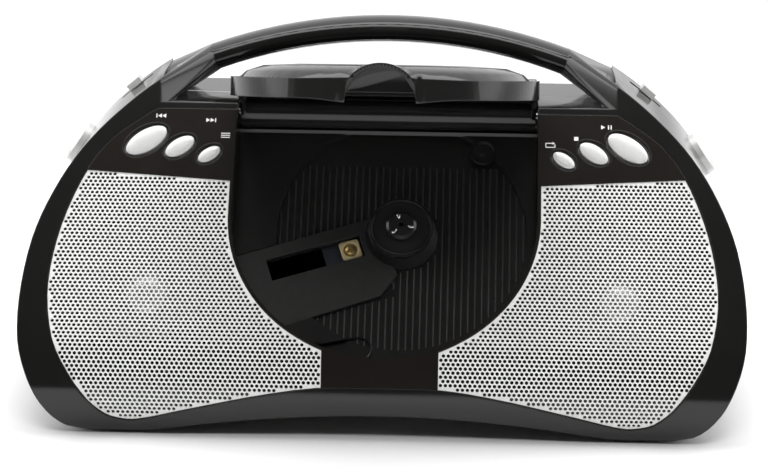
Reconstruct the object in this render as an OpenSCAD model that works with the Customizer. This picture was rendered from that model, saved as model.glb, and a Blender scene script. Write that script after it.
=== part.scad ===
// Portable CD and radio player: an arched cabinet whose rim runs on over the top as the carry handle.
// Origin: middle of the base on the table. +Z is up, -Y is the front, +X is the listener's right.

/* [Cabinet] */
// Overall width at the widest point of the arch
body_w = 344; // [330:1:360]
// Overall depth from the base rim to the rear wall
body_d = 150; // [144:1:156]
// Height of the top of the handle
body_h = 180; // [176:1:184]
// Wall thickness of the mouldings
wall = 2.5; // [2:0.1:3]
// Height of the top deck behind the front panel
deck_z = 142.5; // [140:0.5:145]
// Lean of the upper front, in degrees from upright
lean = 40; // [36:1:44]
// Height of the bend between the upright base rim and the leaning front
bend_z = 45; // [42:1:48]
// Distance of that bend behind the foremost point
bend_in = 7.4; // [6:0.2:9]
// Distance from the front to the plane where the front and rear mouldings meet
split_in = 118; // [116:1:122]

/* [CD well and door] */
// Radius of the round lower end of the well
well_r = 73.5; // [70:0.5:76]
// Distance of the centre of that round end up the front from the bend
well_l = 67.5; // [66:0.5:69]
// Depth of the well floor below the front face
well_deep = 25; // [24:0.5:27]
// Angle by which the door stands open in the rest position
door_open = 61.2; // [0:0.2:61.2]
// Thickness of the door skin
door_t = 2.2; // [1.8:0.1:2.6]

/* [Disc mechanism] */
// Sideways place of the disc spindle
spindle_x = 8; // [6:0.5:10]
// Place of the disc spindle up the front from the bend
spindle_l = 68.5; // [67:0.5:70]
// Angle of the pickup's path, in degrees from the horizontal
sled_angle = 18; // [14:1:22]
// Radius at which the pickup reads the first track
first_track = 26; // [25:0.5:28]

/* [Speakers and controls] */
// Distance of each speaker from the middle
speaker_x = 114; // [112:1:116]
// Place of the speakers up the front from the bend
speaker_l = 34; // [32:1:36]
// Turn of the oval buttons, in degrees
button_turn = 36; // [30:1:42]
// Radius of the two rotary knobs
knob_r = 11; // [9:0.5:12]
// Distance between the front and rear feet
feet_apart = 106; // [90:1:110]

/* [Hidden] */

$fn = 64;
half_w = body_w / 2;
// The open door reaches out past the base rim, and the stowed antenna past the rear wall
door_reach = 25.4;
antenna_reach = 6.8;
front_y = (door_reach - body_d - antenna_reach) / 2;
rear_y = front_y + body_d;
split_y = front_y + split_in;
bend_y = front_y + bend_in;
base_z = 1.2;
base_flat = 112;
base_rise = 11.3;
slope_y = sin(lean);
slope_z = cos(lean);
fit = 0.05;

// Handle: an oval bar that follows an arc about an axis along Y
handle_t = 12.8;
handle_d = 27;
handle_y = front_y + 128.5;
handle_r = 262;
handle_z = body_h - handle_r;
handle_turn = 20;
shoulder_x = 112;
under_r = handle_r - handle_t;

// Door hinge line
hinge_l = 132;
hinge_n = -18;
hinge_y = bend_y + hinge_l * slope_y - hinge_n * slope_z;
hinge_z = bend_z + hinge_l * slope_z + hinge_n * slope_y;
barrel_r = deck_z - 0.2 - hinge_z;
door_r = well_r - 0.7;

// Outline of the cabinet as seen from the front, right half, from the foot to the top
side_points = [[138, base_z], [151, 6], [162.5, 20], [170, 40], [half_w, 61], [168.5, 85],
    [160, 105], [148, 122.5], [132, 138], [112, 152.5], [88, 164.8], [60, 173], [30, 178.3],
    [0, body_h]];
// Inner edge of the rim, right half, from the middle of the base to the top of the panel
rim_points = [[0, 25.5], [30, 25], [62, 20], [92, 13.2], [110, 8.8], [119, 7.8], [129, 10.5],
    [138, 18], [147, 30], [155, 45], [159, 62], [158, 79], [153, 97], [144, 115], [133, 127.5],
    [118, 137]];
panel_top = deck_z - wall;
// Side view of the front face, from under the base rim up to above the handle
front_points = [[front_y + 7, 0], [front_y + 3, 4], [front_y + 0.8, 10], [front_y, 18],
    [front_y + 1.4, 27], [front_y + 4.2, 37.5], [front_y + 6.6, 43.4], [front_y + 8.6, 46.6],
    [bend_y + 170 * slope_y, bend_z + 170 * slope_z]];

// A smooth curve through the given points, with n steps between each pair
function curve(p, n) = let(last = len(p) - 1) [
    for (i = [0 : last - 1], k = [0 : n - 1]) let(
        t = k / n,
        a = i > 0 ? p[i - 1] : 2 * p[0] - p[1],
        b = p[i],
        c = p[i + 1],
        d = i < last - 1 ? p[i + 2] : 2 * p[last] - p[last - 1])
        (2 * b + (c - a) * t + (2 * a - 5 * b + 4 * c - d) * t * t
            + (3 * b - a - 3 * c + d) * t * t * t) / 2,
    p[last]];
function mirrored(p) = [for (i = [len(p) - 1 : -1 : 0]) [-p[i][0], p[i][1]]];
function unit(v) = v / norm(v);
function right_of(v) = [v[1], -v[0]];
// An open line moved sideways by d, to the right of its direction
function moved_line(p, d) = [for (i = [0 : len(p) - 1]) let(
    a = right_of(unit(p[max(i, 1)] - p[max(i, 1) - 1])),
    b = i < len(p) - 1 ? right_of(unit(p[i + 1] - p[i])) : a)
    p[i] + d * (a + b) / (1 + a * b)];
// A closed outline shrunk by d (points run anticlockwise)
function shrunk(p, d) = [for (i = [0 : len(p) - 1]) let(
    a = right_of(unit(p[i] - p[(i + len(p) - 1) % len(p)])),
    b = right_of(unit(p[(i + 1) % len(p)] - p[i])))
    p[i] - d * (a + b) / (1 + a * b)];

arch_r = (base_flat * base_flat + base_rise * base_rise) / (2 * base_rise);
base_half = [for (x = [0 : 16 : base_flat])
    [x, base_z + base_rise - arch_r + sqrt(arch_r * arch_r - x * x)]];
outline_half = concat(base_half, curve(side_points, 4));
body_outline = concat(outline_half, [for (i = [1 : len(outline_half) - 2])
    mirrored(outline_half)[i]]);
rim_half = concat(curve(rim_points, 3), [[112, panel_top]]);
rim_outline = concat(rim_half, [for (i = [0 : len(rim_half) - 2]) mirrored(rim_half)[i]]);

// Extrudes a Y-Z drawing along X, and an X-Z drawing along Y
module along_x(x0, x1) translate([x0, 0, 0]) rotate([90, 0, 90]) linear_extrude(x1 - x0) children();
module along_y(y0, y1) translate([0, y1, 0]) rotate([90, 0, 0]) linear_extrude(y1 - y0) children();
// Y of the leaning front face at height z
function face_y(z) = bend_y + (z - bend_z) * tan(lean);
// The leaning front: X across, Y up the slope, Z out of the face
module on_front() translate([0, bend_y, bend_z]) rotate([90 - lean, 0, 0]) children();
// The disc mechanism: X along the pickup's path towards the spindle
module on_mechanism() on_front() translate([spindle_x, spindle_l, 0]) rotate(sled_angle) children();
// A place on the outer side of the arch: Z out of the face, X down along the arch
module on_side(x, y, z, a) translate([x, y, z]) rotate([0, 90 - a, 0]) children();
module both_sides() {
    children();
    mirror([1, 0, 0]) children();
}
// Everything behind the front face moved in by d, and everything before it
module behind_front(d) along_x(-half_w - 5, half_w + 5)
    polygon(concat(moved_line(front_points, d),
        [[rear_y + 40, 400], [rear_y + 40, -40], [0, -40]]));
module before_front(d) along_x(-half_w - 5, half_w + 5)
    polygon(concat([[front_y - 90, -40]], moved_line(front_points, d), [[front_y - 90, 200]]));
// A sheet that follows the front face between the depths d0 and d1
module front_sheet(d0, d1) let(inner = moved_line(front_points, d1)) along_x(-half_w, half_w)
    polygon(concat(moved_line(front_points, d0), [for (i = [len(inner) - 1 : -1 : 0]) inner[i]]));
// The U shape of the well and the door
module u_shape(r, top, n0, n1) translate([0, 0, n0]) linear_extrude(n1 - n0) intersection() {
    union() {
        translate([0, well_l]) circle(r, $fn = 128);
        translate([-r, well_l]) square([2 * r, top - well_l]);
    }
    translate([-r - 1, well_l - r - 1]) square([2 * r + 2, top - well_l + r + 1]);
}
module oval(size) polygon([for (a = [0 : 7.5 : 352.5]) [size[0] / 2 * cos(a), size[1] / 2 * sin(a)]]);

// Space under the handle, grown by g
module under_handle(g) intersection() {
    translate([0, handle_z]) circle(under_r + g, $fn = 180);
    translate([-half_w, deck_z - g]) square([body_w, 60]);
}
mid_r = handle_r - handle_t / 2;
// The oval bar between the shoulders
module handle_bar() translate([0, handle_y, handle_z]) rotate([90, 0, 0]) rotate(90 - handle_turn)
    rotate_extrude(angle = 2 * handle_turn, $fn = 180)
        polygon([for (a = [0 : 15 : 345]) [mid_r + handle_t / 2 * sin(a), handle_d / 2 * cos(a)]]);
// A slice of the bar and a slice of the rim, joined into one smooth shoulder
module shoulder() hull() {
    translate([mid_r * sin(handle_turn), handle_y, handle_z + mid_r * cos(handle_turn)])
        rotate([0, handle_turn, 0]) along_x(-0.5, 0.5)
            polygon([for (a = [0 : 15 : 345])
                [(handle_d / 2 + 0.06) * cos(a), (handle_t / 2 + 0.06) * sin(a)]]);
    along_x(shoulder_x, shoulder_x + 0.5) polygon([[face_y(139.5), 139.5], [face_y(150.5), 150.5],
        [face_y(150.5) + 4, 152], [rear_y - 4, 151.5], [rear_y, 148], [rear_y, 139.5]]);
}
// The cabinet as one solid block: the rim shape cut back to the leaning front
module cabinet_block(y0, y1) intersection() {
    along_y(y0, y1) difference() {
        polygon(body_outline);
        translate([-shoulder_x, deck_z]) square([2 * shoulder_x, 60]);
    }
    behind_front(0);
}
module cabinet_hollow() intersection() {
    along_y(front_y - 1, rear_y - wall) difference() {
        polygon(shrunk(body_outline, wall));
        under_handle(wall);
    }
    behind_front(wall);
}
module handle_parts() {
    handle_bar();
    both_sides() shoulder();
}
screw_places = [[165.3, 58], [108, 135.8], [128, 8]];
module at_screws() both_sides() for (p = screw_places) translate([p[0], 0, p[1]]) children();
module rod_y(r, y0, y1) translate([0, y1, 0]) rotate([90, 0, 0]) cylinder(r = r, h = y1 - y0);

module front_frame() color([0.06, 0.06, 0.05]) {
    difference() {
        cabinet_block(front_y - 1, split_y);
        cabinet_hollow();
        along_y(front_y - 1, split_y - 24) polygon(rim_outline);
        door_notch();
    }
    intersection() {
        handle_parts();
        along_x(-half_w, half_w) translate([front_y, 0]) square([split_in, 200]);
    }
    at_screws() difference() {
        rod_y(5, split_y - 24, split_y);
        rod_y(1.5, split_y - 20, split_y + 1);
    }
}
// Cut-out in the deck for the hinge end of the door
module door_notch() translate([-well_r - 0.2, front_y, panel_top - 12])
    cube([2 * well_r + 0.4, hinge_y + 6.6 - front_y, 30]);

// Side controls, inlet, battery bay and antenna
knob_x = 157;
knob_z = 110.5;
knob_y = front_y + 134;
knob_tilt = 34.4;
slide_x = 128.6;
slide_z = 140.6;
slide_tilt = 50;
slide_y = front_y + 136;
inlet_x = 122;
inlet_z = 34;
cell_w = 158;
cell_z0 = 17;
cell_h = 60;
cell_in = 114;
antenna_x = 96;
antenna_y = rear_y + 4;
antenna_z = 126;
module at_knobs() both_sides() on_side(knob_x, knob_y, knob_z, knob_tilt) children();
module at_slides() both_sides() on_side(slide_x, slide_y, slide_z, slide_tilt) children();
module rear_cabinet() color([0.06, 0.06, 0.05]) difference() {
    union() {
        difference() {
            cabinet_block(split_y, rear_y);
            cabinet_hollow();
        }
        intersection() {
            handle_parts();
            along_x(-half_w, half_w) translate([split_y, 0]) square([60, 200]);
        }
        at_screws() rod_y(5, split_y, rear_y - 1);
    }
    translate([antenna_x, 0, antenna_z]) rod_y(2.5 + fit, rear_y - 5, rear_y + 1);
    at_screws() rod_y(1.7, split_y - 1, rear_y + 1);
    at_screws() rod_y(3.4, rear_y - 10, rear_y + 1);
    at_knobs() translate([0, 0, -6]) cylinder(r = knob_r + 0.6, h = 20);
    at_slides() translate([-10, -2.2, -6]) cube([20, 4.4, 20]);
    along_y(rear_y - 5, rear_y + 1) {
        translate([-cell_w / 2 + 3, cell_z0 + 2.4]) square([cell_w - 6, cell_h - 5]);
        translate([inlet_x - 11.2, inlet_z - 7.2]) square([22.4, 14.4]);
        for (x = [-150 : 6 : -96]) translate([x, 70]) square([2.4, 32]);
    }
}

// Centre panel: button fields, the pockets under the grilles, and the collar of the well
grille_drop = 0.5;
grille_t = 0.8;
buttons = [[117, 106, [23, 13.4]], [100.5, 103, [16.4, 10.4]], [86, 99, [12.7, 8]]];
module at_button(side, i) on_front() translate([side * buttons[i][0], buttons[i][1], 0])
    rotate(-side * button_turn) children();
module grille_shape(g) along_y(front_y - 5, front_y + 90) intersection() {
    polygon(shrunk(rim_outline, 0.5 - g));
    polygon([[27.5 - g, 0], [half_w, 0], [half_w, 114.5 + g], [146, 113.4 + g], [27.5 - g, 107.5 + g]]);
}
module grille_field(g) difference() {
    grille_shape(g);
    on_front() u_shape(75.2 - g, 130, -20, 20);
}
module centre_panel() color([0.07, 0.07, 0.06]) difference() {
    union() {
        intersection() {
            along_y(front_y - 5, rear_y) polygon(shrunk(rim_outline, 0.15));
            difference() {
                front_sheet(0, 3.8);
                both_sides() intersection() {
                    grille_field(0.25);
                    before_front(grille_drop + grille_t + 0.1);
                }
            }
        }
        intersection() {
            both_sides() on_front() translate([speaker_x, speaker_l, -8.2]) cylinder(r = 37, h = 8);
            behind_front(3.7);
        }
    }
    on_front() u_shape(well_r, 160, -30, 20);
    both_sides() on_front() translate([speaker_x, speaker_l, -20]) cylinder(r = 33, h = 30);
    for (side = [-1, 1], i = [0 : 2]) at_button(side, i) translate([0, 0, -10])
        linear_extrude(20) oval(buttons[i][2] + [0.8, 0.8]);
}
module grille(side) color([0.8, 0.8, 0.78]) mirror([side < 0 ? 1 : 0, 0, 0]) intersection() {
    front_sheet(grille_drop, grille_drop + grille_t);
    grille_field(0);
}
module grille_left() grille(-1);
module grille_right() grille(1);

// CD well: a tub with a trough for the door's hinge barrel
floor_t = 2;
slot_w = 11.5;
ledge = 3;
disc_r = 61.5;
module hinge_line(r, x0, x1) translate([x0, hinge_y, hinge_z]) rotate([0, 90, 0])
    cylinder(r = r, h = x1 - x0);
module pickup_slot(w, n0, n1) translate([0, 0, n0]) linear_extrude(n1 - n0) {
    translate([-67, -w / 2]) square([47, w]);
    circle(17.6);
}
module cd_well() color([0.05, 0.05, 0.05]) difference() {
    union() {
        on_front() difference() {
            u_shape(well_r + 2, 142, -well_deep - floor_t, 10);
            u_shape(well_r, 160, -well_deep + ledge, 20);
            translate([spindle_x, spindle_l, -well_deep]) cylinder(r = disc_r, h = 40, $fn = 128);
            translate([-32, 3, -well_deep]) linear_extrude(40) finger_recess();
        }
        intersection() {
            hinge_line(barrel_r + 2.8, -well_r - 1.5, well_r + 1.5);
            translate([-90, hinge_y - 3, hinge_z - 12]) cube([180, 30, 16]);
        }
    }
    before_front(4);
    hinge_line(barrel_r + 0.8, -well_r - 0.3, well_r + 0.3);
    hinge_line(2, -well_r - 5, well_r + 5);
    translate([-100, front_y, panel_top - 0.3]) cube([200, body_d, 40]);
    on_mechanism() pickup_slot(slot_w, -40, 10);
    cover_block(0.2, 20);
}
// Capsule-shaped finger recess at the edge of the disc
module finger_recess() rotate(12) polygon([for (a = [0 : 15 : 345])
    [(abs(a - 180) < 90 ? 0 : 21) + 6 * cos(a), 6 * sin(a)]]);
// Raised plate over the pickup; it reaches from the hub to the left wall of the well
module cover_block(g, h) intersection() {
    on_mechanism() translate([0, 0, -well_deep]) linear_extrude(h) polygon([[-90, 12 + g],
        [-12 + g, 12.5 + g], [-8 + g, -20 - g], [-19 + g, -28.5 - g], [-90, -31 - g]]);
    on_front() u_shape(well_r - 0.3 + g, 130, -40, 10);
}
module mechanism_cover() color([0.16, 0.16, 0.15]) difference() {
    cover_block(0, 2.4);
    on_mechanism() pickup_slot(slot_w, -40, 10);
}

// CD door, drawn closed and then swung open about the hinge line
module door_pose() translate([0, hinge_y, hinge_z]) rotate([-door_open, 0, 0])
    translate([0, -hinge_y, -hinge_z]) children();
skirt = 9;
pull_w = 36;
pull_n = -10.5;
corner_l = 127;
crown = 6.8;
crown_l = 62;
module cd_door() color([0.06, 0.06, 0.06]) door_pose() difference() {
    union() {
        intersection() {
            on_front() difference() {
                u_shape(door_r, corner_l, -30, 12);
                translate([0, 0, -40]) u_shape(door_r - door_t, corner_l - 12, 0, 60);
            }
            front_sheet(0, skirt);
        }
        intersection() {
            on_front() u_shape(door_r, corner_l + 0.5, -30, 12);
            front_sheet(0, door_t);
        }
        along_x(-door_r, door_r) polygon([[bend_y + corner_l * slope_y - 0.6, deck_z - 0.2],
            [hinge_y, deck_z - 0.2], [hinge_y, deck_z - 2.6],
            [bend_y + corner_l * slope_y, deck_z - 3.4]]);
        hinge_line(barrel_r, -door_r, door_r);
        both_sides() along_x(door_r - 2.4, door_r) polygon([[hinge_y - 4, hinge_z - 6.5],
            [bend_y + 96 * slope_y + 3, bend_z + 96 * slope_z - 3],
            [bend_y + 122 * slope_y, bend_z + 122 * slope_z - 1], [hinge_y - 8, deck_z - 1]]);
        finger_pull();
        on_front() intersection() {
            translate([0, crown_l, 0]) rotate_extrude()
                polygon([[0, crown], [40, crown - 0.3], [57, crown - 1.3], [65, crown - 4],
                    [68, 0], [68, -1], [0, -1]]);
            u_shape(door_r, corner_l, -2, 12);
        }
    }
    on_front() translate([0, crown_l, -12]) cylinder(r = 44, h = 12 + crown - 2.4);
    hinge_line(2 + fit, -door_r - 1, -door_r + 14);
    hinge_line(2 + fit, door_r - 14, door_r + 1);
    on_front() intersection() {
        translate([0, well_l - door_r - 1, pull_n]) rotate([-90, 0, 0])
            cylinder(r = pull_w / 2 - 2, h = 13);
        translate([-pull_w, well_l - door_r - 1, -16]) cube([2 * pull_w, 13, 40]);
    }
}
// Raised half-round hood at the free end, open towards the finger
module finger_pull() on_front() intersection() {
    translate([0, well_l - door_r - 1, pull_n]) rotate([-90, 0, 0]) cylinder(r = pull_w / 2, h = 17);
    translate([-pull_w, well_l - door_r - 1, -6]) cube([2 * pull_w, 18, 30]);
    u_shape(door_r, 100, -10, 30);
}
module door_hinge_pins() color([0.75, 0.75, 0.75]) both_sides()
    hinge_line(2, door_r - 12, well_r + 10);
// Torsion spring round the left hinge pin, outside the wall of the well
module door_spring() color([0.6, 0.6, 0.6]) translate([-well_r - 9, hinge_y, hinge_z])
    rotate([0, 90, 0]) {
        for (i = [0 : 3]) translate([0, 0, i * 1.1 + 0.6])
            rotate_extrude() translate([4, 0]) circle(0.5, $fn = 16);
        translate([4, 0, 0.6]) cube([1, 1, 3.3]);
    }

// Disc drive: spindle, hub and pickup
deck_n = -14.5;
module spindle_motor() color([0.7, 0.7, 0.7]) on_mechanism() {
    difference() {
        translate([0, 0, -42]) cylinder(r = 10, h = 12);
        translate([0, 0, -43]) cylinder(r = 1 + fit, h = 30);
    }
}
module turntable() color([0.08, 0.08, 0.08]) on_mechanism() {
    translate([0, 0, deck_n - 1.5]) cylinder(r = 15.6, h = 1.5);
    translate([0, 0, deck_n - 5]) cylinder(r = 9, h = 3.6);
    translate([0, 0, -41]) cylinder(r = 1, h = 41 + deck_n - 2);
}
module centring_hub() color([0.1, 0.1, 0.1]) on_mechanism() difference() {
    union() {
        translate([0, 0, deck_n]) cylinder(r = 7.4, h = 2.4);
        translate([0, 0, deck_n + 2.4]) cylinder(r1 = 7.4, r2 = 6, h = 0.9);
    }
    translate([0, 0, deck_n + 1.6]) cylinder(r = 1.3, h = 3);
    for (a = [90 : 120 : 330]) rotate(a) translate([5.8, 0, deck_n + 1.4]) sphere(r = 1.2, $fn = 24);
}
module hub_balls() color([0.9, 0.9, 0.9]) on_mechanism()
    for (a = [90 : 120 : 330]) rotate(a) translate([5.8, 0, deck_n + 1.4]) sphere(r = 1.15, $fn = 24);
chassis_n = -31;
module mechanism_chassis() color([0.5, 0.5, 0.52]) on_mechanism() difference() {
    union() {
        translate([-86, -34, chassis_n]) cube([104, 62, 2]);
        for (x = [-79, -14.5], y = [-14, 14]) translate([x, y - 3, chassis_n - 4]) cube([4, 6, 4]);
    }
    translate([-74.4, -18.6, chassis_n - 1]) cube([59.5, 37.2, 4]);
    translate([-18, -30.5, chassis_n - 1]) cylinder(r = 1 + fit, h = 4);
    translate([0, 0, chassis_n - 1]) cylinder(r = 10.1, h = 4);
    rods(1.5);
    at_isolators() translate([0, 0, chassis_n - 1]) cylinder(r = 3, h = 4);
}
module at_isolators() for (x = [-82, 13.5], y = [-29.5, 23.5]) translate([x, y, 0]) children();
module isolators() color([0.05, 0.05, 0.05]) on_mechanism() at_isolators() {
    translate([0, 0, chassis_n]) cylinder(r = 3, h = 2);
    translate([0, 0, chassis_n + 2]) cylinder(r = 4.2, h = 2);
    translate([0, 0, chassis_n - 2]) cylinder(r = 4.2, h = 2);
}
module rods(r) for (y = [-14, 14]) translate([-79, y, chassis_n - 2]) rotate([0, 90, 0])
    cylinder(r = r, h = 68.5);
module guide_rods() color([0.8, 0.8, 0.82]) on_mechanism() rods(1.5);
module optical_sled() color([0.35, 0.35, 0.36]) on_mechanism() difference() {
    union() {
        translate([-first_track - 13, -17.6, chassis_n - 5]) cube([24, 35.2, 7]);
        translate([-first_track - 5, -5, chassis_n + 1.9]) cube([10, 10, 4.3]);
        translate([-first_track - 13, -24.4, chassis_n - 4.6]) cube([47, 7, 2]);
    }
    rods(1.5 + fit);
    translate([-first_track, 0, chassis_n + 5]) cylinder(r = 3.4, h = 3);
    translate([-17, -17, chassis_n - 3]) cube([12, 12, 12]);
}
module pickup_lens() color([0.85, 0.7, 0.35]) on_mechanism()
    translate([-first_track, 0, chassis_n + 5]) {
        cylinder(r = 3.3, h = 1.6);
        intersection() {
            translate([0, 0, -1.4]) sphere(r = 4);
            cylinder(r = 2.4, h = 4);
        }
    }
gear_r = 6;
module sled_gear() color([0.9, 0.9, 0.88]) on_mechanism() translate([-18, -30.5, 0]) {
    translate([0, 0, chassis_n - 4.6]) cylinder(r = gear_r - 0.2, h = 2);
    for (a = [0 : 30 : 330]) rotate(a) translate([gear_r - 0.6, -0.5, chassis_n - 4.6]) cube([0.5, 1, 2]);
    translate([0, 0, chassis_n - 2.6]) cylinder(r = 2.5, h = 2.3);
    translate([0, 0, chassis_n - 6]) cylinder(r = 1, h = 9);
}
module sled_motor() color([0.7, 0.7, 0.72]) on_mechanism() {
    translate([-52, -43, chassis_n - 9]) rotate([0, 90, 0]) cylinder(r = 6, h = 18);
    translate([-34, -43, chassis_n - 9]) rotate([0, 90, 0]) cylinder(r = 2, h = 14);
    translate([-50, -44, chassis_n - 3.2]) cube([14, 14, 3.1]);
}

// Buttons, drawn at rest; each slides in along the normal of the front
module button(side, i) color([0.82, 0.82, 0.8]) at_button(side, i) {
    translate([0, 0, -4.2]) linear_extrude(4.8) oval(buttons[i][2]);
    translate([0, 0, 0.6]) linear_extrude(0.7) oval(buttons[i][2] - [1.6, 1.6]);
    translate([0, 0, -5.2]) linear_extrude(1) oval(buttons[i][2] + [1.6, 1.6]);
    translate([0, 0, -7.2]) cylinder(r = 1.6, h = 2);
}
module button_skip_back() button(-1, 0);
module button_skip_forward() button(-1, 1);
module button_program() button(-1, 2);
module button_repeat() button(1, 2);
module button_stop() button(1, 1);
module button_play() button(1, 0);
board_n = -14;
module key_board(side) color([0.15, 0.35, 0.2]) on_front() translate([side * 101, 102.5, board_n])
    rotate(side * 12.7) translate([-23, -8, 0]) cube([46, 16, 1.6]);
module key_board_left() key_board(-1);
module key_board_right() key_board(1);
module tact_switches() color([0.2, 0.2, 0.2]) for (side = [-1, 1], i = [0 : 2]) on_front()
    translate([side * buttons[i][0], buttons[i][1], board_n + 1.6]) {
        translate([-3, -3, 0]) cube([6, 6, 3.2]);
        translate([0, 0, 3.2]) cylinder(r = 1.6, h = 0.8);
    }

// Rotary knobs and slide switches on the sides of the arch
module knob() color([0.82, 0.82, 0.8]) {
    translate([0, 0, -3]) cylinder(r = knob_r, h = 5.6);
    translate([0, 0, 2.6]) cylinder(r1 = knob_r, r2 = knob_r - 2.5, h = 1.6);
    translate([0, 0, -12]) cylinder(r = 3, h = 9);
}
module pot_body(r) difference() {
    union() {
        translate([0, 0, -14.5]) cylinder(r = r, h = 8);
        translate([0, 0, -6.5]) cylinder(r = 4.2, h = 2);
    }
    translate([0, 0, -12.5]) cylinder(r = 3 + fit, h = 20);
}
module volume_knob() mirror([1, 0, 0]) on_side(knob_x, knob_y, knob_z, knob_tilt) knob();
module volume_pot() color([0.7, 0.7, 0.7]) mirror([1, 0, 0])
    on_side(knob_x, knob_y, knob_z, knob_tilt) pot_body(8.5);
module tuning_knob() on_side(knob_x, knob_y, knob_z, knob_tilt) knob();
module tuning_capacitor() color([0.9, 0.9, 0.85]) on_side(knob_x, knob_y, knob_z, knob_tilt)
    difference() {
        union() {
            translate([-10, -10, -24.5]) cube([20, 20, 16]);
            translate([0, 0, -8.5]) cylinder(r = 4.2, h = 4);
        }
        translate([0, 0, -12.5]) cylinder(r = 3 + fit, h = 20);
    }
module slider() color([0.82, 0.82, 0.8]) {
    translate([-4, -3.6, 0.5]) cube([8, 7.2, 3]);
    translate([-2, -1.6, -5]) cube([4, 3.2, 5.5]);
}
module switch_body() color([0.6, 0.6, 0.62]) translate([-6, -4.5, -11]) cube([18, 9, 5.6]);
module function_slider() mirror([1, 0, 0]) on_side(slide_x, slide_y, slide_z, slide_tilt) slider();
module band_slider() on_side(slide_x, slide_y, slide_z, slide_tilt) slider();
module function_switch() mirror([1, 0, 0]) on_side(slide_x, slide_y, slide_z, slide_tilt) switch_body();
module band_switch() on_side(slide_x, slide_y, slide_z, slide_tilt) switch_body();

// Speakers
module at_speaker(side) on_front() translate([side * speaker_x, speaker_l, 0]) children();
module speaker_frame(side) color([0.25, 0.25, 0.26]) at_speaker(side) rotate_extrude()
    polygon([[37, -8.2], [37, -10], [34, -10], [33.4, -12.4], [21, -27], [21, -29], [8, -29],
        [8, -27.6], [19.6, -27.6], [32, -12], [32, -8.2]]);
module speaker_cone(side) color([0.1, 0.1, 0.1]) at_speaker(side) rotate_extrude()
    polygon([[31.6, -9.2], [31.6, -10.2], [30, -10.6], [27, -9.4], [11, -20.4], [7.4, -21],
        [7.4, -27], [6.6, -27], [6.6, -20], [11, -19.4], [27, -8], [30, -9.2]]);
module dust_cap(side) color([0.85, 0.85, 0.85]) at_speaker(side) intersection() {
    translate([0, 0, -32.6]) sphere(r = 18);
    translate([0, 0, -18.9]) cylinder(r = 11.6, h = 10);
}
module speaker_frame_left() speaker_frame(-1);
module speaker_frame_right() speaker_frame(1);
module speaker_cone_left() speaker_cone(-1);
module speaker_cone_right() speaker_cone(1);
module dust_cap_left() dust_cap(-1);
module dust_cap_right() dust_cap(1);
module speaker_magnets() color([0.3, 0.3, 0.3]) for (side = [-1, 1]) at_speaker(side) {
    translate([0, 0, -38]) cylinder(r = 20, h = 9);
    translate([0, 0, -29]) cylinder(r = 5.6, h = 4);
}

// Electronics and supply
module main_board() color([0.15, 0.35, 0.2]) translate([-68, front_y + 127, 84]) cube([136, 1.6, 46]);
module board_components() color([0.2, 0.2, 0.25]) translate([0, front_y + 128.6, 0]) {
    for (x = [-55, -40, 40]) translate([x, 12, 96]) rotate([90, 0, 0]) cylinder(r = 5, h = 12);
    for (x = [-20, 10]) translate([x, 0, 100]) cube([16, 3, 12]);
    translate([50, 0, 110]) cube([12, 8, 16]);
}
module ribbon_cable() color([0.85, 0.85, 0.85]) along_x(-30, -8) {
    y0 = front_y + 92;
    z0 = 80;
    y1 = front_y + 126.8;
    polygon([[y0, z0], [y0, z0 + 0.4], [y0 + 14, z0 + 0.4], [y0 + 22, z0 + 24.4], [y1, z0 + 24.4],
        [y1, z0 + 24], [y0 + 22.4, z0 + 24], [y0 + 14.4, z0]]);
}
module transformer() color([0.5, 0.4, 0.3]) translate([inlet_x, front_y + 100, 0]) {
    translate([-24, -18, 14]) cube([48, 36, 8]);
    translate([-18, -15, 22]) cube([36, 30, 26]);
}
module ac_inlet() color([0.05, 0.05, 0.05]) translate([inlet_x, 0, inlet_z]) {
    difference() {
        translate([-11, rear_y - 16, -7]) cube([22, 15.6, 14]);
        translate([-8, rear_y - 11, -4]) cube([16, 12, 8]);
    }
    for (x = [-4, 4]) translate([x, 0, 0]) rod_y(1.2, rear_y - 11, rear_y - 3);
}
module battery_box() color([0.1, 0.1, 0.1]) difference() {
    translate([-cell_w / 2, front_y + cell_in, cell_z0])
        cube([cell_w, body_d - cell_in - wall - 0.2, cell_h]);
    translate([-cell_w / 2 + 1.8, front_y + cell_in + 1.8, cell_z0 + 1.8])
        cube([cell_w - 3.6, body_d, cell_h - 3.6]);
}
module battery_contacts() color([0.8, 0.8, 0.75]) both_sides() for (z = [33, 61])
    translate([cell_w / 2 - 1.8, front_y + cell_in + 16, z]) rotate([0, -90, 0]) {
        translate([-7, -7, 0]) cube([14, 14, 0.5]);
        translate([0, 0, 0.5]) cylinder(r1 = 5, r2 = 2.5, h = 3);
    }
door_low = cell_z0 + 3.2;
module battery_door() color([0.06, 0.06, 0.05]) difference() {
    union() {
        translate([-cell_w / 2 + 3.5, rear_y - wall, door_low + wall / 2])
            cube([cell_w - 7, wall, cell_h - 6.6 - wall / 2]);
        translate([-cell_w / 2 + 3.5, rear_y - wall / 2, door_low + wall / 2]) rotate([0, 90, 0])
            cylinder(r = wall / 2, h = cell_w - 7);
    }
    for (z = [0 : 5]) translate([-15, rear_y - 0.8, door_low + 40 + z * 2]) cube([30, 1, 0.9]);
}

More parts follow.
